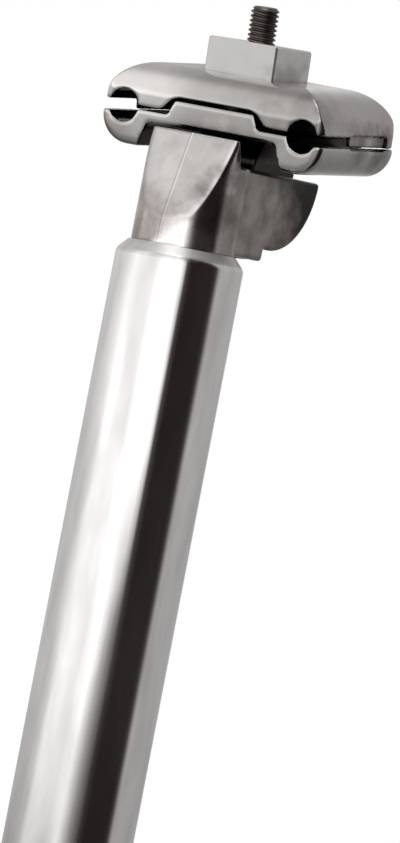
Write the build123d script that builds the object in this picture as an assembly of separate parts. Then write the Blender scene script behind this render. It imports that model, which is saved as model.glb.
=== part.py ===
from build123d import *
import math
import os

# Set-back bicycle seatpost with a single-bolt, tilting saddle-rail clamp.
# Millimetres and degrees. +X is across the bicycle, +Y points rearward, +Z runs up the post.
# The origin is on the post's axis, at the foot of the tube.

# Tube
tube_diameter = 27.2
tube_wall = 2.6
tube_length = 272.0
rim_chamfer_depth = 2.2
rim_chamfer_height = 2.4
bore_chamfer = 0.8

# Head: neck, prow and cradle, with heights counted from the tube's rim
bond_gap = 0.05
spigot_depth = 45.0
spigot_chamfer = 1.0
head_width = 20.8
setback = 19.1
axis_rise = 18.9
drum_radius = 16.0
drum_edge = 0.5
heel_gap = 0.3
heel_reach = 16.3
prow_rise = 24.1
prow_foot_rise = 5.6
prow_back = 1.1
prow_back_lean = 16.5
facet_lean = 17.6
facet_turn = 9.2
neck_flat_turn = 15.0
facet_edge = 1.4

# Cradle trough, its teeth, and the pocket below it
trough_radius = 9.8
trough_width = 15.6
tooth_depth = 0.6
tooth_count = 22
cradle_floor = 2.5
pocket_width = 15.0
pocket_front = 9.9
pocket_rise = 12.9

# Tilt of the clamp about the trough's axis: as drawn, and the two ends of its travel
tilt_rest = 5.2
tilt_low = -6.5
tilt_high = 20.0
turn_gap = 0.25

# Saddle rails and the clamp that holds them, with heights counted from the tilt axis
rail_diameter = 7.0
rail_spacing = 43.4
rail_rise = 10.0
clamp_length = 32.0
clamp_width = 53.8
land_gap = 0.7

# Lower clamp
bridge_bottom = 7.0
bridge_chamfer = 0.7
tongue_top = 12.8
tongue_width = 19.2
tongue_draft = 1.4
pad_bottom = 1.9
pad_inner_width = 31.0
pad_inner_draft = 1.9
pad_radius = 6.4
lower_lip_drop = 1.5
lower_edge = 1.6

# Upper clamp
channel_top = 13.4
channel_width = 19.2
channel_flare = 3.0
channel_round = 3.0
upper_top = 19.8
shoulder_radius = 10.2
brow_radius = 7.0
upper_corner = 2.4
upper_lip_drop = 1.35
nose_length = 13.0
nose_height = 2.15

# Shallow pockets in the lips of both clamps, counted from mid length and from the tilt axis
lip_pocket_length = 15.0
lip_pocket_shift = 4.4
lip_pocket_rise = 8.0
lip_pocket_height = 3.2
lip_pocket_depth = 0.8
lip_pocket_round = 0.6

# Bolt, nut and saddle washer
bolt_diameter = 6.0
bolt_top = 34.4
bolt_end_chamfer = 0.7
bolt_clearance = 0.5
thread_gap = 0.06
head_diameter = 10.5
head_height = 3.2
head_chamfer = 0.5
socket_size = 5.0
socket_depth = 2.2
nut_width = 16.8
nut_length = 15.4
nut_front_height = 7.3
nut_back_height = 6.5
nut_bevel = 0.4
washer_diameter = 14.0
washer_thickness = 2.2
washer_gap = 0.1

# Sizes that follow from the ones above
tube_radius = tube_diameter / 2
bore_radius = tube_radius - tube_wall
neck_radius = bore_radius - bond_gap
rim = tube_length
tilt_axis = rim + axis_rise
trough_root = trough_radius + tooth_depth
pocket_radius = trough_root + cradle_floor
rocker_radius = trough_radius - turn_gap
rocker_width = trough_width - 2 * turn_gap
washer_radius = pocket_radius + turn_gap
washer_bottom = -(washer_radius + washer_thickness)
bolt_radius = bolt_diameter / 2
hole_radius = bolt_radius + bolt_clearance
rail_radius = rail_diameter / 2
rail_offset = rail_spacing / 2
lower_land = rail_rise - land_gap / 2
upper_land = rail_rise + land_gap / 2
lower_lip = rail_rise - lower_lip_drop
upper_lip = rail_rise - upper_lip_drop

# How far cuts run past the solids: clear of everything, and just past a face
beyond = 2 * clamp_width
overcut = rail_radius


def both_sides(half):
    """A profile and its mirror image across the middle of the bicycle."""
    return half + mirror(half, about=Plane.YZ)


def across(profile, width):
    """A side-view profile (rearward, up) made solid across the bicycle."""
    return extrude(Plane.YZ * profile, amount=width / 2, both=True)


def along(profile, length):
    """A front-view profile (across, up) made solid along the rails."""
    return extrude(Plane.XZ * profile, amount=length / 2, both=True)


def rectangle(left, bottom, right, top):
    """A rectangle between two corners."""
    return Pos((left + right) / 2, (bottom + top) / 2) * Rectangle(right - left, top - bottom)


def toothed_half_round(crest, valley):
    """The lower half of a disc, its rim cut into straight teeth between two radii."""
    steps = 2 * tooth_count
    points = []
    for step in range(steps + 1):
        radius = valley if step % 2 else crest
        angle = math.pi * (1 + step / steps)
        points.append((radius * math.cos(angle), radius * math.sin(angle)))
    return make_face(Polyline(*points, close=True))


def lip_pockets():
    """What is milled out of both clamps' lips, on their outer faces."""
    pocket = Pos(lip_pocket_shift, lip_pocket_rise + lip_pocket_height / 2) * RectangleRounded(
        lip_pocket_length, lip_pocket_height, lip_pocket_round
    )
    cutter = across(pocket, 2 * lip_pocket_depth)
    return [Pos(side * clamp_width / 2, 0, 0) * cutter for side in (-1, 1)]


def place_clamp(shape):
    """Sets a shape drawn about the tilt axis at its place and tilt on the post."""
    return Pos(0, setback, tilt_axis) * Rot(tilt_rest, 0, 0) * shape


def make_post_tube():
    """The drawn tube, its rim chamfered down to the neck."""
    wall = Polyline(
        (bore_radius, bore_chamfer),
        (bore_radius + bore_chamfer, 0),
        (tube_radius, 0),
        (tube_radius, rim - rim_chamfer_height),
        (tube_radius - rim_chamfer_depth, rim),
        (bore_radius, rim),
        close=True,
    )
    return revolve(Plane.XZ * make_face(wall), axis=Axis.Z)


def ahead_of_prow(height, lean, turn):
    """All that lies ahead of two planes that meet in a ridge through the neck's front at a height."""
    ridge = Plane(
        origin=(0, -neck_radius, height),
        x_dir=(1, 0, 0),
        z_dir=(0, math.sin(math.radians(lean)), math.cos(math.radians(lean))),
    )
    wing = beyond * math.tan(math.radians(turn))
    front = Polyline(
        (0, 0), (beyond, wing), (beyond, -beyond), (-beyond, -beyond), (-beyond, wing), close=True
    )
    return extrude(ridge * make_face(front), amount=beyond, both=True)


def make_head():
    """The forged head: spigot and neck, prow, and the half-drum cradle behind the post."""
    neck_height = spigot_depth + prow_rise
    neck = Pos(0, 0, rim - spigot_depth) * Cylinder(
        neck_radius, neck_height, align=(Align.CENTER, Align.CENTER, Align.MIN)
    )
    neck = chamfer(neck.edges().sort_by(Axis.Z)[:1], spigot_chamfer)

    # Two upright flats meet in a ridge down the neck's front; above them the two front facets lean back
    flats = ahead_of_prow(rim, 0, neck_flat_turn)
    neck -= split(flats, Plane.XY.offset(rim), keep=Keep.TOP)
    neck -= ahead_of_prow(rim + prow_foot_rise, facet_lean, facet_turn)
    neck = fillet(neck.edges().filter_by(GeomType.ELLIPSE), facet_edge)

    # The web carries the half-drum; its heel stands just clear of the tube's rim
    heel = rectangle(0, heel_gap, heel_reach, axis_rise)
    drum = Pos(setback, axis_rise) * Circle(drum_radius)
    drum &= rectangle(-beyond, -beyond, beyond, axis_rise)
    web = across(Pos(0, rim) * (heel + drum), head_width)
    web = chamfer(web.faces().filter_by(Axis.X).edges(), drum_edge)

    # Everything behind the prow is cut down to the shelf at the level of the tilt axis
    back_slope = math.tan(math.radians(prow_back_lean))
    shelf = Polyline(
        (-prow_back, tilt_axis),
        (-prow_back - beyond * back_slope, tilt_axis + beyond),
        (beyond, tilt_axis + beyond),
        (beyond, tilt_axis),
        close=True,
    )
    head = neck + web - across(make_face(shelf), beyond)

    # The trough holds the rocker; the pocket below it holds the saddle washer and the bolt's head
    head -= across(Pos(setback, tilt_axis) * toothed_half_round(trough_radius, trough_root), trough_width)
    pocket = rectangle(pocket_front, rim, beyond, rim + pocket_rise)
    pocket -= Pos(setback, tilt_axis) * Circle(pocket_radius)
    head -= across(pocket, pocket_width)

    # The slot lets the bolt swing through the whole tilt
    reach_front = pocket_radius * math.sin(math.radians(-tilt_low)) + hole_radius
    reach_back = pocket_radius * math.sin(math.radians(tilt_high)) + hole_radius
    slot = rectangle(setback - reach_front, tilt_axis - drum_radius, setback + reach_back, tilt_axis)
    return head - across(slot, 2 * hole_radius)


def make_lower_clamp():
    """The lower clamp: a half-round rocker under a bridge, with a grooved pad each side."""
    lip_x = clamp_width / 2
    wall_x = pad_inner_width / 2
    outline = Polyline(
        (0, bridge_bottom),
        (wall_x, bridge_bottom),
        (wall_x + pad_inner_draft, pad_bottom),
        (lip_x, pad_bottom),
        (lip_x, tongue_top),
        (0, tongue_top),
        close=True,
    )
    half = make_face(outline)
    half = fillet(half.vertices().group_by(Axis.Y)[0].sort_by(Axis.X)[-1:], pad_radius)
    clamp = along(both_sides(half), clamp_length)
    end_edges = clamp.faces().filter_by(Axis.Y).edges()
    clamp = fillet(end_edges.filter_by(lambda e: abs(e.center().X) > rail_offset), lower_edge)
    bridge_edges = clamp.edges().filter_by(Axis.X).filter_by_position(
        Axis.Z, bridge_bottom, bridge_bottom, inclusive=(True, True)
    )
    clamp = chamfer(bridge_edges, bridge_chamfer)

    # The top is cut down to the lips and lands, which leaves the tongue, and the rail grooves are sunk
    tongue_x = tongue_width / 2
    cut = Polyline(
        (tongue_x, tongue_top + overcut),
        (tongue_x, tongue_top),
        (tongue_x + tongue_draft, lower_land),
        (rail_offset, lower_land),
        (rail_offset, lower_lip),
        (clamp_width, lower_lip),
        (clamp_width, tongue_top + overcut),
        close=True,
    )
    grooved = make_face(cut) + Pos(rail_offset, rail_rise) * Circle(rail_radius)
    clamp -= along(both_sides(grooved), beyond)
    clamp -= lip_pockets()

    rocker = Circle(rocker_radius - tooth_depth)
    rocker += toothed_half_round(rocker_radius, rocker_radius - tooth_depth)
    rocker &= rectangle(-beyond, -beyond, beyond, bridge_bottom + bridge_chamfer)
    clamp += across(rocker, rocker_width)
    clamp -= Cylinder(hole_radius, beyond)
    return place_clamp(clamp)


def make_upper_clamp():
    """The upper clamp: a rounded yoke over both rails, with a channel along its underside."""
    lip_x = clamp_width / 2
    lip_front = -clamp_length / 2
    yoke = rectangle(-lip_x, upper_lip, lip_x, upper_top)
    yoke = fillet(yoke.vertices().group_by(Axis.Y)[-1], shoulder_radius)
    brow = rectangle(lip_front, upper_lip, -lip_front, upper_top)
    brow = fillet(brow.vertices().group_by(Axis.Y)[-1], brow_radius)
    plan = RectangleRounded(clamp_width, clamp_length, upper_corner)
    clamp = along(yoke, clamp_length) & across(brow, clamp_width) & extrude(plan, amount=upper_top)

    # The underside is cut to the channel, the lands and the rail grooves
    channel_x = channel_width / 2
    wall_x = rail_offset + rail_radius
    cut = Polyline(
        (0, upper_lip - overcut),
        (wall_x, upper_lip - overcut),
        (wall_x, rail_rise),
        (rail_offset, rail_rise),
        (rail_offset, upper_land),
        (channel_x + channel_flare, upper_land),
        (channel_x, channel_top),
        (0, channel_top),
        close=True,
    )
    underside = make_face(cut)
    flare_ends = ((channel_x, channel_top), (channel_x + channel_flare, upper_land))
    corners = [underside.vertices().sort_by_distance(end)[0] for end in flare_ends]
    underside = fillet(corners, channel_round)
    grooved = underside + Pos(rail_offset, rail_rise) * Circle(rail_radius)
    clamp -= along(both_sides(grooved), beyond)

    # The lips are relieved towards the front end, so that they clear the lower clamp's
    nose_end = lip_front + nose_length
    nose = rectangle(lip_front - overcut, upper_lip - overcut, nose_end, upper_lip + nose_height)
    for side in (-1, 1):
        clamp -= Pos(side * lip_x, 0, 0) * across(nose, 2 * (lip_x - rail_offset))
    clamp -= lip_pockets()
    clamp -= Cylinder(hole_radius, beyond)
    return place_clamp(clamp)


def make_clamp_nut():
    """The block nut that bears on the upper clamp, a little lower at the back than at the front."""
    nut_back = nut_length / 2
    side = Polyline(
        (-nut_back, upper_top),
        (nut_back, upper_top),
        (nut_back, upper_top + nut_back_height),
        (-nut_back, upper_top + nut_front_height),
        close=True,
    )
    nut = across(make_face(side), nut_width)
    nut = chamfer(nut.edges() - nut.edges().group_by(Axis.Z)[0], nut_bevel)
    nut -= Cylinder(bolt_radius + thread_gap, beyond)
    return place_clamp(nut)


def make_clamp_bolt():
    """The low-head socket bolt, put in from below."""
    head_bottom = washer_bottom - head_height
    head_radius = head_diameter / 2
    outline = Polyline(
        (0, head_bottom),
        (head_radius - head_chamfer, head_bottom),
        (head_radius, head_bottom + head_chamfer),
        (head_radius, washer_bottom),
        (bolt_radius, washer_bottom),
        (bolt_radius, bolt_top - bolt_end_chamfer),
        (bolt_radius - bolt_end_chamfer, bolt_top),
        (0, bolt_top),
        close=True,
    )
    bolt = revolve(Plane.XZ * make_face(outline), axis=Axis.Z)
    hexagon = RegularPolygon(socket_size / 2, 6, major_radius=False)
    bolt -= Pos(0, 0, head_bottom) * extrude(hexagon, amount=socket_depth)
    return place_clamp(bolt)


def make_saddle_washer():
    """The washer under the cradle: flat below, hollowed above to ride on the pocket's round roof."""
    washer = Pos(0, 0, washer_bottom) * Cylinder(
        washer_diameter / 2, -washer_bottom, align=(Align.CENTER, Align.CENTER, Align.MIN)
    )
    washer -= across(Circle(washer_radius), beyond)
    washer -= Cylinder(bolt_radius + washer_gap, beyond)
    return place_clamp(washer)


os.makedirs("parts", exist_ok=True)
export_step(make_post_tube(), "parts/post_tube.step")
export_step(make_head(), "parts/head.step")
export_step(make_lower_clamp(), "parts/lower_clamp.step")
export_step(make_upper_clamp(), "parts/upper_clamp.step")
export_step(make_clamp_nut(), "parts/clamp_nut.step")
export_step(make_clamp_bolt(), "parts/clamp_bolt.step")
export_step(make_saddle_washer(), "parts/saddle_washer.step")
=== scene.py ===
import math
from collections import namedtuple

import bpy
from mathutils import Matrix, Vector


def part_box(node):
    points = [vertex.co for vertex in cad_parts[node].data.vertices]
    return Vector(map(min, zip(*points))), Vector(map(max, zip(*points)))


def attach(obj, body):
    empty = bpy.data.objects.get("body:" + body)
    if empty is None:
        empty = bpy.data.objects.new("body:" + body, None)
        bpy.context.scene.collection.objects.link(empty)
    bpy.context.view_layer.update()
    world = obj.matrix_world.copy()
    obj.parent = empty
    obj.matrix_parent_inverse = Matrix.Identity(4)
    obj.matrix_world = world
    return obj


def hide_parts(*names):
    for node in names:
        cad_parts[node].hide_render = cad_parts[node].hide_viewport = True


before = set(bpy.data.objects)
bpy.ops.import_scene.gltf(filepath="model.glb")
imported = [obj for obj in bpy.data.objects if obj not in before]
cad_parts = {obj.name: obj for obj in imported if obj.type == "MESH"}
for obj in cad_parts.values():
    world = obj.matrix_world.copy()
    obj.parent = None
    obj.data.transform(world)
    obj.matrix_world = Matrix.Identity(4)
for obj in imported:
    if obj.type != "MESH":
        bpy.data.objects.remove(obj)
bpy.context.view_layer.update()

MM = 0.001

# Camera: the photograph's view of the clamp end of the post
VIEW_AZIMUTH = math.radians(29.0)
POST_LEAN = math.radians(10.9)
CAMERA_DISTANCE = 3.9
CAMERA_CLIP = (0.05, 50)
PICTURE_HEIGHT = 176.6 * MM
AIM_HEIGHT = 237.0 * MM
AIM_RIGHT = 10.57 * MM
SENSOR = 36.0

# Clamp and bolt, as the part's source sets them
TILT_AXIS = Vector((0, 19.1, 290.9)) * MM
TILT = math.radians(5.2)
BOLT_RADIUS = 3.0 * MM
BOLT_TOP = 34.4 * MM

# The bolt's thread
THREAD_PITCH = 1.0 * MM
THREAD_DEPTH = 0.54 * MM
THREAD_LENGTH = 24.0 * MM
THREAD_FLANK = math.radians(30)
THREAD_ROOT = THREAD_PITCH / 8
THREAD_OUTSIDE = 0.1 * MM
THREAD_STEPS = 32

# The tube's broken edges and the scuffed band along its rim
RIM_ROUNDING = 0.7 * MM
RIM_SEGMENTS = 4
RIM_SCUFF = 3.0 * MM
RIM_ROUGHNESS = 0.35

# Tumbled forgings: the grain of the skin, how often and how far it is smoothed, the share of its
# faces that is kept, and the angle past which an edge still shows
TUMBLE_GRAIN = 0.25 * MM
TUMBLE_PASSES = 14
TUMBLE_STRENGTH = 0.5
TUMBLE_KEPT = 0.35
TUMBLE_CREASE = math.radians(75)

# Flash line down the middle of the head
PARTING_WIDTH = 0.7 * MM
PARTING_HEIGHT = 0.09 * MM

# Meshes
MERGE_DISTANCE = 0.002 * MM
CREASE_ANGLE = math.radians(32)

# Each metal's two tones, and its roughness where it is darker and lighter
TUBE_TONES = ((0.84, 0.821, 0.816), (1.0, 0.978, 0.973))
TUBE_ROUGHNESS = (0.05, 0.10)
HEAD_TONES = ((0.64, 0.605, 0.595), (0.78, 0.75, 0.735))
HEAD_ROUGHNESS = (0.22, 0.14)
CLAMP_TONES = ((0.585, 0.560, 0.545), (0.657, 0.631, 0.615))
CLAMP_ROUGHNESS = (0.19, 0.14)
NUT_TONES = ((0.84, 0.825, 0.805), (0.93, 0.915, 0.895))
NUT_ROUGHNESS = (0.46, 0.38)
BOLT_TONES = ((0.14, 0.12, 0.11), (0.26, 0.225, 0.21))
BOLT_ROUGHNESS = (0.34, 0.46)
WASHER_TONES = ((0.50, 0.49, 0.48), (0.60, 0.59, 0.58))
WASHER_ROUGHNESS = (0.42, 0.32)

# The part of a noise's range between two tones of cloudy polish, of mottling and of roughness
CLOUDED = (0.36, 0.64)
MOTTLED = (0.35, 0.65)
ROUGHENED = (0.3, 0.7)

# Painted shade in the gaps and in the small crevices: how far it looks for walls, and the open share
# where the painted shade is full and gone
PAINTED_SHADE_COLOUR = (0.032, 0.027, 0.025)
PAINTED_SHADE_SAMPLES = 8
GAP_SHADE = (25 * MM, 0.54, 0.66)
CREVICE_SHADE = (2.5 * MM, 0.50, 0.96)

# Patches of painted shade and painted highlight, in millimetres: where each is deepest, how far from
# there it is full and gone, its tone and how mottled it is
PaintedPatch = namedtuple("PaintedPatch", "place full gone tone mottle")
HEAD_PAINTED_PATCHES = (
    # Painted shade darkening the flank
    PaintedPatch((10.4, 14, 276), 19, 25, (0.33, 0.299, 0.283), 0.32),
    # Painted shade under the right pad, near black, at the flank's upper rear
    PaintedPatch((10.4, 38, 288), 9, 23, (0.022, 0.019, 0.017), 0.32),
    # Painted shade on the neck's left front
    PaintedPatch((-6, -9, 274), 3, 11, (0.45, 0.403, 0.393), 0.12),
    # A painted highlight on the neck's right front
    PaintedPatch((7, -9, 270), 6, 8.5, (0.98, 0.96, 0.95), 0),
)
CLAMP_PAINTED_PATCHES = (
    # Painted shade along the slit between the clamp halves, on their right side
    PaintedPatch((26, 20, 299.8), 2, 7, (0.33, 0.31, 0.30), 0.25),
    PaintedPatch((26, 27, 299), 2, 6, (0.33, 0.31, 0.30), 0.25),
    # A painted highlight on the top clamp's left front
    PaintedPatch((-23, -2, 310), 10, 22, (0.98, 0.945, 0.93), 0),
    # Painted shade on the top clamp's right front lip
    PaintedPatch((19.4, 2, 303.7), 3, 12, (0.48, 0.458, 0.446), 0.15),
    # Painted shade on the front of the left pad
    PaintedPatch((-20.5, 2.6, 295), 2, 7, (0.60, 0.565, 0.55), 0.15),
    # A painted highlight on the front of the tongue
    PaintedPatch((-0.4, 2.3, 297), 2.5, 5, (0.80, 0.763, 0.745), 0),
)
# Painted shade at the foot of the nut's right side, where it stands on the clamp
NUT_PAINTED_SHADE = (PaintedPatch((8.4, 17, 308.5), 4, 9, (0.70, 0.68, 0.66), 0.08),)
PATCH_RAGGED = 14 * MM

# Stage
FLOOR_RADIUS = 1.2
FLOOR_SIDES = 96
FLOOR_COLOUR = (0.93, 0.93, 0.93, 1)
WORLD_LIGHT = 0.75
WORLD_SEEN = 1.0
SOFTBOX_SIZE = 0.9
SOFTBOX_DISTANCE = 1.3
SOFTBOX_POWER = 14
SOFTBOX_SIDE = Vector((0.45, -0.35, 1))
TENT_RADIUS = 3.0
TENT_HEIGHT = 240 * MM
TENT_SEGMENTS = 64
TENT_RINGS = 32

# The tent's white left half, up to its black flag: brightness by the angle round the post from the
# camera, positive to the right, times another by the angle above the middle of the tent
WHITE_ROUND = (
    (-180, 0.62), (-165, 0.70), (-130, 0.68), (-110, 0.78), (-96, 0.96), (-83, 1.23), (-71, 1.27),
    (-60, 1.08), (-50, 1.08), (-40, 1.15), (-30, 1.5), (3, 1.6), (11, 0.85), (15, 0.07), (24, 0.014),
    (180, 0.0),
)
WHITE_RISE = (
    (-90, 0.22), (-20, 0.30), (-9, 0.46), (-5, 0.60), (-2, 0.96), (0, 1.0), (5, 0.86), (10, 0.74),
    (20, 0.70), (34, 0.66), (50, 0.56), (64, 0.54), (76, 1.4), (90, 2.2),
)
# The same lower down, where the flag's edge is soft, and the heights where that is gone and full
FOOT_ROUND = (
    (-180, 0.62), (-165, 0.52), (-130, 0.49), (-110, 0.56), (-96, 0.70), (-83, 0.97), (-71, 1.05),
    (-50, 0.97), (-40, 0.94), (-30, 1.08), (-20, 1.24), (-11, 0.84), (-2, 0.45), (7, 0.21), (17, 0.045),
    (26, 0.016), (180, 0.0),
)
FOOT_TOP = 440 * MM
FOOT_BOTTOM = 250 * MM
# Its grey right half, from the flag's far edge to the back
GREY_ROUND = (
    (-180, 0.0), (20, 0.0), (66, 0.006), (73, 0.03), (82, 0.34), (112, 0.33), (122, 0.325), (155, 0.33),
    (168, 0.42), (180, 0.62),
)
GREY_RISE = ((-90, 0.40), (-20, 0.72), (-4, 1.0), (2, 1.12), (15, 1.25), (40, 1.25), (90, 0.9))
# The faint warm light of the room on all of it
ROOM_GLOW = (0.0065, 0.0028, 0.002)


# Selecting and applying


def deselect_all():
    """Leaves object mode with nothing selected."""
    if bpy.context.object and bpy.context.object.mode != "OBJECT":
        bpy.ops.object.mode_set(mode="OBJECT")
    bpy.ops.object.select_all(action="DESELECT")


def make_active(obj):
    """Selects one object alone, ready for operators."""
    deselect_all()
    obj.select_set(True)
    bpy.context.view_layer.objects.active = obj


def apply_modifiers(obj):
    """Applies an object's modifiers in order."""
    make_active(obj)
    for modifier in list(obj.modifiers):
        bpy.ops.object.modifier_apply(modifier=modifier.name)


# Node helpers


def new_material(name):
    """An empty node material, with its tree and its output."""
    material = bpy.data.materials.new(name)
    material.use_nodes = True
    nodes = material.node_tree.nodes
    nodes.clear()
    return material, material.node_tree, nodes.new("ShaderNodeOutputMaterial")


def object_place(tree):
    """The place on the object."""
    return tree.nodes.new("ShaderNodeTexCoord").outputs["Object"]


def object_axis(tree, axis):
    """The place on the object along one axis."""
    parts = tree.nodes.new("ShaderNodeSeparateXYZ")
    tree.links.new(object_place(tree), parts.inputs["Vector"])
    return parts.outputs[axis]


def noise(tree, per_metre, stretch=(1, 1, 1), **settings):
    """A noise over the object, with so many cycles to the metre, squeezed along the axes."""
    mapping = tree.nodes.new("ShaderNodeMapping")
    mapping.inputs["Scale"].default_value = stretch
    texture = tree.nodes.new("ShaderNodeTexNoise")
    texture.inputs["Scale"].default_value = per_metre
    for key, value in settings.items():
        texture.inputs[key].default_value = value
    tree.links.new(object_place(tree), mapping.inputs["Vector"])
    tree.links.new(mapping.outputs["Vector"], texture.inputs["Vector"])
    return texture.outputs["Fac"]


def spread(tree, value, low, high, out_low=0, out_high=1):
    """Maps part of a value's range to an output range."""
    node = tree.nodes.new("ShaderNodeMapRange")
    node.inputs["From Min"].default_value = low
    node.inputs["From Max"].default_value = high
    node.inputs["To Min"].default_value = out_low
    node.inputs["To Max"].default_value = out_high
    tree.links.new(value, node.inputs["Value"])
    return node.outputs["Result"]


def reckon(tree, operation, *values):
    """One step of arithmetic on values."""
    node = tree.nodes.new("ShaderNodeMath")
    node.operation = operation
    for socket, value in zip(node.inputs, values):
        tree.links.new(value, socket)
    return node.outputs["Value"]


def blend(tree, factor, first, second):
    """A colour between two others, each a plain tone or one from another node."""
    node = tree.nodes.new("ShaderNodeMix")
    node.data_type = "RGBA"
    for key, colour in (("A", first), ("B", second)):
        if isinstance(colour, bpy.types.NodeSocket):
            tree.links.new(colour, node.inputs[key])
        else:
            node.inputs[key].default_value = (*colour, 1)
    tree.links.new(factor, node.inputs["Factor"])
    return node.outputs["Result"]


def relief(tree, height, strength, distance, below=None):
    """A bump from a height, on top of another bump if one is given."""
    node = tree.nodes.new("ShaderNodeBump")
    node.inputs["Strength"].default_value = strength
    node.inputs["Distance"].default_value = distance
    tree.links.new(height, node.inputs["Height"])
    if below is not None:
        tree.links.new(below, node.inputs["Normal"])
    return node.outputs["Normal"]


def metal(tree, output, colour, roughness, normal):
    """A bare metal surface from its colour, roughness and bump."""
    shader = tree.nodes.new("ShaderNodeBsdfPrincipled")
    shader.inputs["Metallic"].default_value = 1.0
    tree.links.new(colour, shader.inputs["Base Color"])
    tree.links.new(roughness, shader.inputs["Roughness"])
    tree.links.new(normal, shader.inputs["Normal"])
    tree.links.new(shader.outputs["BSDF"], output.inputs["Surface"])


# Painted shade, painted highlights and the flash line


def with_painted_shade(tree, colour, depth, full, gone):
    """A colour darkened by painted shade into corners, gaps and other places that nearby walls enclose.
    """
    shade = tree.nodes.new("ShaderNodeAmbientOcclusion")
    shade.samples = PAINTED_SHADE_SAMPLES
    shade.inputs["Distance"].default_value = depth
    return blend(tree, spread(tree, shade.outputs["AO"], full, gone), PAINTED_SHADE_COLOUR, colour)


def with_painted_patches(tree, colour, uneven, painted_patches):
    """A colour with patches of painted shade and painted highlight over it, mottled and ragged at their
    edges by an uneven pattern.
    """
    wander = spread(tree, uneven, 0, 1, -PATCH_RAGGED / 2, PATCH_RAGGED / 2)
    patch = spread(tree, uneven, *MOTTLED)
    for painted_patch in painted_patches:
        far = tree.nodes.new("ShaderNodeVectorMath")
        far.operation = "DISTANCE"
        far.inputs[1].default_value = Vector(painted_patch.place) * MM
        tree.links.new(object_place(tree), far.inputs[0])
        ragged = reckon(tree, "ADD", far.outputs["Value"], wander)
        deep = [level * (1 - painted_patch.mottle) for level in painted_patch.tone]
        faint = [min(1.0, level * (1 + painted_patch.mottle)) for level in painted_patch.tone]
        clear = spread(tree, ragged, painted_patch.full * MM, painted_patch.gone * MM)
        colour = blend(tree, clear, blend(tree, patch, deep, faint), colour)
    return colour


def parting_line(tree):
    """The height of the flash line that the forging dies left down the middle."""
    off = reckon(tree, "ABSOLUTE", object_axis(tree, "X"))
    return spread(tree, off, 0, PARTING_WIDTH / 2, 1, 0)


# Finishes


def polished_tube_finish():
    """Aluminium polished along the tube: near mirror, cloudy, with drawn streaks and a scuffed rim."""
    material, tree, output = new_material("polished_tube_finish")
    streaks = noise(tree, per_metre=900, stretch=(1, 1, 0.012), Detail=4.0)
    clouds = noise(tree, per_metre=210, stretch=(1, 1, 0.22), Detail=2.0)
    colour = blend(tree, spread(tree, clouds, *CLOUDED), *TUBE_TONES)
    smooth = spread(tree, streaks, *ROUGHENED, *TUBE_ROUGHNESS)
    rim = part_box("post_tube")[1][2]
    scuffed = spread(
        tree, object_axis(tree, "Z"), rim - RIM_SCUFF, rim - RIM_SCUFF / 2, 0, RIM_ROUGHNESS
    )
    normal = relief(tree, streaks, strength=0.10, distance=0.02 * MM)
    metal(tree, output, colour, reckon(tree, "ADD", smooth, scuffed), normal)
    return material


def forged_head_finish():
    """The forged and polished head: bright, with soft blotches and faint waviness, painted shade in its
    gaps, and patches of painted shade and painted highlight.
    """
    material, tree, output = new_material("forged_head_finish")
    blotches = noise(tree, per_metre=170, Detail=4.0, Roughness=0.55)
    grain = noise(tree, per_metre=2600, Detail=3.0)
    waves = noise(tree, per_metre=260, Detail=1.0)
    colour = blend(tree, spread(tree, blotches, *MOTTLED), *HEAD_TONES)
    # Patches of painted shade on the flank and neck, and a painted highlight on the neck
    colour = with_painted_patches(tree, colour, blotches, HEAD_PAINTED_PATCHES)
    roughness = spread(tree, blotches, *ROUGHENED, *HEAD_ROUGHNESS)
    normal = relief(tree, waves, strength=0.14, distance=0.25 * MM)
    normal = relief(tree, grain, strength=0.10, distance=0.01 * MM, below=normal)
    normal = relief(tree, parting_line(tree), strength=1.0, distance=PARTING_HEIGHT, below=normal)
    # Painted shade darkens the head's colour into its gaps
    metal(tree, output, with_painted_shade(tree, colour, *GAP_SHADE), roughness, normal)
    return material


def forged_clamp_finish():
    """The clamp halves: forged, tumbled and polished, with painted shade in their gaps and crevices,
    and patches of painted shade and painted highlight.
    """
    material, tree, output = new_material("forged_clamp_finish")
    blotches = noise(tree, per_metre=140, Detail=4.0, Roughness=0.55)
    grain = noise(tree, per_metre=3200, Detail=3.0)
    colour = blend(tree, spread(tree, blotches, *MOTTLED), *CLAMP_TONES)
    # Patches of painted shade and painted highlights over the clamp halves
    colour = with_painted_patches(tree, colour, blotches, CLAMP_PAINTED_PATCHES)
    # Painted shade darkens the clamps' colour into the gaps between the parts and into their small
    # crevices
    colour = with_painted_shade(tree, with_painted_shade(tree, colour, *GAP_SHADE), *CREVICE_SHADE)
    roughness = spread(tree, blotches, *ROUGHENED, *CLAMP_ROUGHNESS)
    normal = relief(tree, grain, strength=0.12, distance=0.012 * MM)
    metal(tree, output, colour, roughness, normal)
    return material


def plain_nut_finish():
    """The nut: matt, fine grained, with painted shade at its foot."""
    material, tree, output = new_material("plain_nut_finish")
    clouds = noise(tree, per_metre=220, Detail=4.0)
    grain = noise(tree, per_metre=4200, Detail=2.0)
    # Painted shade at the nut's foot
    colour = with_painted_patches(tree, blend(tree, clouds, *NUT_TONES), clouds, NUT_PAINTED_SHADE)
    roughness = spread(tree, clouds, *ROUGHENED, *NUT_ROUGHNESS)
    normal = relief(tree, grain, strength=0.2, distance=0.012 * MM)
    metal(tree, output, colour, roughness, normal)
    return material


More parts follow.
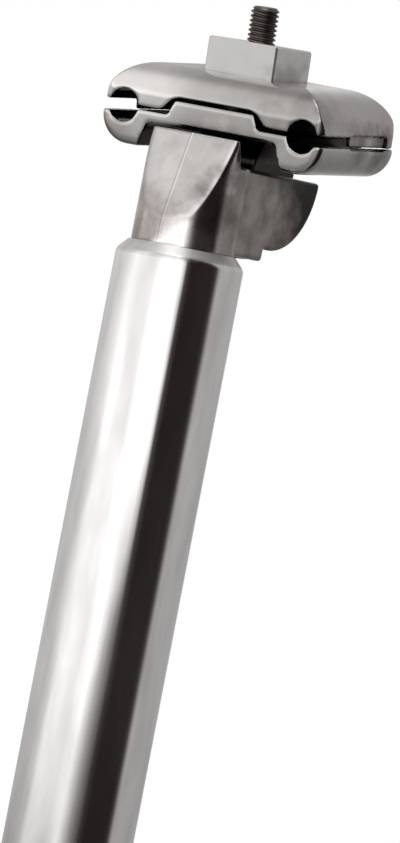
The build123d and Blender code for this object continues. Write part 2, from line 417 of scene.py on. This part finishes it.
def black_bolt_finish():
    """Black oxide on steel: dark and cloudy, with an oily sheen."""
    material, tree, output = new_material("black_bolt_finish")
    clouds = noise(tree, per_metre=700, Detail=4.0)
    grain = noise(tree, per_metre=5200, Detail=2.0)
    colour = blend(tree, clouds, *BOLT_TONES)
    roughness = spread(tree, clouds, *ROUGHENED, *BOLT_ROUGHNESS)
    normal = relief(tree, grain, strength=0.2, distance=0.008 * MM)
    metal(tree, output, colour, roughness, normal)
    return material


def plain_washer_finish():
    """The saddle washer: plain turned steel."""
    material, tree, output = new_material("plain_washer_finish")
    clouds = noise(tree, per_metre=400, Detail=4.0)
    grain = noise(tree, per_metre=3600, Detail=2.0)
    colour = blend(tree, clouds, *WASHER_TONES)
    roughness = spread(tree, clouds, *ROUGHENED, *WASHER_ROUGHNESS)
    normal = relief(tree, grain, strength=0.2, distance=0.01 * MM)
    metal(tree, output, colour, roughness, normal)
    return material


# Pieces


def merged_copy(node, name):
    """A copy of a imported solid's mesh with its seams closed."""
    copy = bpy.data.objects.new(name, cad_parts[node].data.copy())
    bpy.context.scene.collection.objects.link(copy)
    make_active(copy)
    bpy.ops.mesh.customdata_custom_splitnormals_clear()
    bpy.ops.object.mode_set(mode="EDIT")
    bpy.ops.mesh.select_all(action="SELECT")
    bpy.ops.mesh.remove_doubles(threshold=MERGE_DISTANCE)
    bpy.ops.mesh.normals_make_consistent(inside=False)
    bpy.ops.object.mode_set(mode="OBJECT")
    return copy


def stand_for(piece, node, body, finish, crease=CREASE_ANGLE):
    """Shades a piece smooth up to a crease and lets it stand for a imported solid."""
    make_active(piece)
    bpy.ops.object.shade_smooth_by_angle(angle=crease)
    piece.data.materials.clear()
    piece.data.materials.append(finish)
    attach(piece, body)
    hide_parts(node)


def make_rounded_tube():
    """The tube with the sharp outer edges of its rim and foot broken."""
    tube = merged_copy("post_tube", "rounded_tube")
    weights = tube.data.attributes.new("bevel_weight_edge", "FLOAT", "EDGE")
    low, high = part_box("post_tube")
    outside = (high[0] - low[0]) / 2 - MERGE_DISTANCE
    for edge in tube.data.edges:
        ends = [tube.data.vertices[i].co for i in edge.vertices]
        round_the_tube = abs(ends[0].z - ends[1].z) < MERGE_DISTANCE
        if round_the_tube and all(end.xy.length > outside for end in ends):
            weights.data[edge.index].value = 1.0
    edges = tube.modifiers.new("rounding", "BEVEL")
    edges.limit_method = "WEIGHT"
    edges.width = RIM_ROUNDING
    edges.segments = RIM_SEGMENTS
    apply_modifiers(tube)
    stand_for(tube, "post_tube", "post", polished_tube_finish())


def make_tumbled_forging(node, body, finish):
    """A forging with its sharp edges rounded over, as tumbling and polishing leave them."""
    forging = merged_copy(node, f"tumbled_{node}")
    skin = forging.modifiers.new("skin", "REMESH")
    skin.mode = "VOXEL"
    skin.voxel_size = TUMBLE_GRAIN
    rounding = forging.modifiers.new("rounding", "SMOOTH")
    rounding.factor = TUMBLE_STRENGTH
    rounding.iterations = TUMBLE_PASSES
    fewer = forging.modifiers.new("fewer", "DECIMATE")
    fewer.ratio = TUMBLE_KEPT
    apply_modifiers(forging)
    stand_for(forging, node, body, finish, TUMBLE_CREASE)


def set_on_clamp(piece):
    """Moves a mesh drawn upright about the origin to the clamp's tilted axis."""
    make_active(piece)
    bpy.ops.object.mode_set(mode="EDIT")
    bpy.ops.mesh.select_all(action="SELECT")
    bpy.ops.transform.rotate(value=-TILT, orient_axis="X", center_override=(0, 0, 0))
    bpy.ops.transform.translate(value=TILT_AXIS)
    bpy.ops.object.mode_set(mode="OBJECT")


def thread_groove():
    """A helical groove cutter: a wedge wound down the bolt from just above its end."""
    deselect_all()
    bpy.ops.mesh.primitive_plane_add(size=THREAD_PITCH)
    groove = bpy.context.object
    groove.name = "thread_groove"
    bpy.ops.object.mode_set(mode="EDIT")
    bpy.ops.mesh.select_all(action="SELECT")
    bpy.ops.mesh.merge(type="CENTER")
    # The wedge's corners, from the root out past the crest and back
    reach = THREAD_DEPTH + THREAD_OUTSIDE
    slope = math.tan(THREAD_FLANK) * reach
    bpy.ops.transform.translate(value=(BOLT_RADIUS - THREAD_DEPTH, 0, BOLT_TOP + THREAD_PITCH))
    for step in ((reach, 0, slope), (0, 0, -2 * slope - THREAD_ROOT), (-reach, 0, slope)):
        bpy.ops.mesh.extrude_region_move(TRANSFORM_OT_translate={"value": step})
    bpy.ops.mesh.select_all(action="SELECT")
    bpy.ops.mesh.edge_face_add()
    bpy.ops.mesh.delete(type="ONLY_FACE")
    bpy.ops.object.mode_set(mode="OBJECT")
    wind = groove.modifiers.new("wind", "SCREW")
    wind.axis = "Z"
    wind.angle = 2 * math.pi
    wind.screw_offset = -THREAD_PITCH
    wind.iterations = round(THREAD_LENGTH / THREAD_PITCH)
    wind.steps = THREAD_STEPS
    wind.render_steps = THREAD_STEPS
    apply_modifiers(groove)
    make_active(groove)
    bpy.ops.object.mode_set(mode="EDIT")
    bpy.ops.mesh.select_all(action="SELECT")
    bpy.ops.mesh.remove_doubles(threshold=MERGE_DISTANCE)
    bpy.ops.mesh.fill_holes(sides=4)
    bpy.ops.mesh.select_all(action="SELECT")
    bpy.ops.mesh.normals_make_consistent(inside=False)
    bpy.ops.object.mode_set(mode="OBJECT")
    return groove


def make_threaded_bolt():
    """The bolt with its thread cut."""
    bolt = merged_copy("clamp_bolt", "threaded_bolt")
    groove = thread_groove()
    set_on_clamp(groove)
    cut = bolt.modifiers.new("thread", "BOOLEAN")
    cut.operation = "DIFFERENCE"
    cut.solver = "EXACT"
    cut.object = groove
    apply_modifiers(bolt)
    bpy.data.objects.remove(groove)
    stand_for(bolt, "clamp_bolt", "bolt", black_bolt_finish())


def make_forgings():
    """The head and both clamp halves."""
    clamp_finish = forged_clamp_finish()
    make_tumbled_forging("head", "post", forged_head_finish())
    make_tumbled_forging("lower_clamp", "rocker", clamp_finish)
    make_tumbled_forging("upper_clamp", "top_clamp", clamp_finish)


def dress_solid(node, finish):
    """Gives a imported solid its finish."""
    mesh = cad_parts[node].data
    mesh.materials.clear()
    mesh.materials.append(finish)


# Stage and light


def camera_frame():
    """The camera's right, up and back directions, and the point that it looks at."""
    level_right = Vector((math.cos(VIEW_AZIMUTH), math.sin(VIEW_AZIMUTH), 0))
    back = Vector((math.sin(VIEW_AZIMUTH), -math.cos(VIEW_AZIMUTH), 0))
    plumb = Vector((0, 0, 1))
    right = level_right * math.cos(POST_LEAN) + plumb * math.sin(POST_LEAN)
    up = plumb * math.cos(POST_LEAN) - level_right * math.sin(POST_LEAN)
    return right, up, back, plumb * AIM_HEIGHT + level_right * AIM_RIGHT


def add_camera():
    """A long-lens camera at the photograph's angle."""
    right, up, back, aim = camera_frame()
    data = bpy.data.cameras.new("photo_camera")
    data.sensor_width = SENSOR
    data.lens = SENSOR * CAMERA_DISTANCE / PICTURE_HEIGHT
    data.clip_start, data.clip_end = CAMERA_CLIP
    camera = bpy.data.objects.new("photo_camera", data)
    bpy.context.scene.collection.objects.link(camera)
    turn = Matrix((right, up, back)).transposed().to_4x4()
    camera.matrix_world = Matrix.Translation(aim + back * CAMERA_DISTANCE) @ turn
    bpy.context.scene.camera = camera


def add_floor():
    """A plain pale floor that keeps the post's shadow."""
    deselect_all()
    bpy.ops.mesh.primitive_circle_add(vertices=FLOOR_SIDES, radius=FLOOR_RADIUS, fill_type="NGON")
    floor = bpy.context.object
    floor.name = "floor"
    material, tree, output = new_material("pale_floor")
    shader = tree.nodes.new("ShaderNodeBsdfDiffuse")
    shader.inputs["Color"].default_value = FLOOR_COLOUR
    tree.links.new(shader.outputs["BSDF"], output.inputs["Surface"])
    floor.data.materials.append(material)
    floor.visible_glossy = False


def add_world():
    """White behind the object and in its reflections, softer as a light."""
    world = bpy.data.worlds.new("studio")
    bpy.context.scene.world = world
    world.use_nodes = True
    tree = world.node_tree
    tree.nodes.clear()
    output = tree.nodes.new("ShaderNodeOutputWorld")
    background = tree.nodes.new("ShaderNodeBackground")
    background.inputs["Color"].default_value = (1, 1, 1, 1)
    rays = tree.nodes.new("ShaderNodeLightPath").outputs
    seen = rays["Is Camera Ray"]
    for ray in ("Is Glossy Ray", "Is Transmission Ray"):
        seen = reckon(tree, "MAXIMUM", seen, rays[ray])
    strength = spread(tree, seen, 0, 1, WORLD_LIGHT, WORLD_SEEN)
    tree.links.new(strength, background.inputs["Strength"])
    tree.links.new(background.outputs["Background"], output.inputs["Surface"])


def tent_ramp(tree, stops, factor):
    """A colour ramp from its stops' places, from 0 to 1, and levels."""
    ramp = tree.nodes.new("ShaderNodeValToRGB")
    elements = ramp.color_ramp.elements
    for place, level in stops:
        ends = {0.0: elements[0], 1.0: elements[-1]}
        stop = ends.get(place) or elements.new(place)
        stop.color = (level, level, level, 1)
    tree.links.new(factor, ramp.inputs["Fac"])
    return ramp.outputs["Color"]


def tent_cloth(tree, turn, rise, round_levels, rise_levels):
    """The brightness of one cloth of the tent."""
    turns = [((angle + 180) / 360, level) for angle, level in round_levels]
    rises = [((1 + math.sin(math.radians(angle))) / 2, level) for angle, level in rise_levels]
    return reckon(tree, "MULTIPLY", tent_ramp(tree, turns, turn), tent_ramp(tree, rises, rise))


def tent_finish():
    """The tent's glowing cloths: white to the left, a black flag to the right, grey beyond it."""
    material, tree, output = new_material("tent_cloth")
    # The radial gradient is 0.5 along +X, so the pattern is turned to put that at the camera
    mapping = tree.nodes.new("ShaderNodeMapping")
    mapping.inputs["Rotation"].default_value = (0, 0, math.pi / 2 - VIEW_AZIMUTH)
    tree.links.new(object_place(tree), mapping.inputs["Vector"])
    gradient = tree.nodes.new("ShaderNodeTexGradient")
    gradient.gradient_type = "RADIAL"
    tree.links.new(mapping.outputs["Vector"], gradient.inputs["Vector"])
    turn = gradient.outputs["Fac"]
    height = object_axis(tree, "Z")
    rise = spread(tree, height, TENT_HEIGHT - TENT_RADIUS, TENT_HEIGHT + TENT_RADIUS)
    white = tree.nodes.new("ShaderNodeMix")
    tree.links.new(spread(tree, height, FOOT_BOTTOM, FOOT_TOP, 1, 0), white.inputs["Factor"])
    tree.links.new(tent_cloth(tree, turn, rise, WHITE_ROUND, WHITE_RISE), white.inputs["A"])
    tree.links.new(tent_cloth(tree, turn, rise, FOOT_ROUND, WHITE_RISE), white.inputs["B"])
    grey = tent_cloth(tree, turn, rise, GREY_ROUND, GREY_RISE)
    cloths = tree.nodes.new("ShaderNodeEmission")
    tree.links.new(reckon(tree, "ADD", white.outputs["Result"], grey), cloths.inputs["Strength"])
    room = tree.nodes.new("ShaderNodeEmission")
    room.inputs["Color"].default_value = (*ROOM_GLOW, 1)
    lit = tree.nodes.new("ShaderNodeAddShader")
    tree.links.new(cloths.outputs["Emission"], lit.inputs[0])
    tree.links.new(room.outputs["Emission"], lit.inputs[1])
    tree.links.new(lit.outputs["Shader"], output.inputs["Surface"])
    material.cycles.emission_sampling = "NONE"
    return material


def add_tent():
    """A studio tent round the post, seen only in its reflections."""
    deselect_all()
    bpy.ops.mesh.primitive_uv_sphere_add(
        segments=TENT_SEGMENTS, ring_count=TENT_RINGS, radius=TENT_RADIUS
    )
    tent = bpy.context.object
    tent.name = "tent"
    bpy.ops.object.shade_smooth()
    tent.data.materials.append(tent_finish())
    tent.data.transform(Matrix.Translation((0, 0, TENT_HEIGHT)))
    for ray in ("camera", "diffuse", "transmission", "volume_scatter", "shadow"):
        setattr(tent, f"visible_{ray}", False)


def add_softbox():
    """One large soft lamp above the post."""
    data = bpy.data.lights.new("softbox", "AREA")
    data.shape = "SQUARE"
    data.size = SOFTBOX_SIZE
    data.energy = SOFTBOX_POWER
    lamp = bpy.data.objects.new("softbox", data)
    lamp.visible_glossy = False
    bpy.context.scene.collection.objects.link(lamp)
    aim = Vector((0, 0, AIM_HEIGHT))
    away = SOFTBOX_SIDE.normalized() * SOFTBOX_DISTANCE
    turn = away.to_track_quat("Z", "Y").to_matrix().to_4x4()
    lamp.matrix_world = Matrix.Translation(aim + away) @ turn


make_forgings()
dress_solid("clamp_nut", plain_nut_finish())
dress_solid("saddle_washer", plain_washer_finish())
make_rounded_tube()
make_threaded_bolt()
add_camera()
add_floor()
add_world()
add_tent()
add_softbox()
bpy.context.scene.view_settings.view_transform = "Standard"
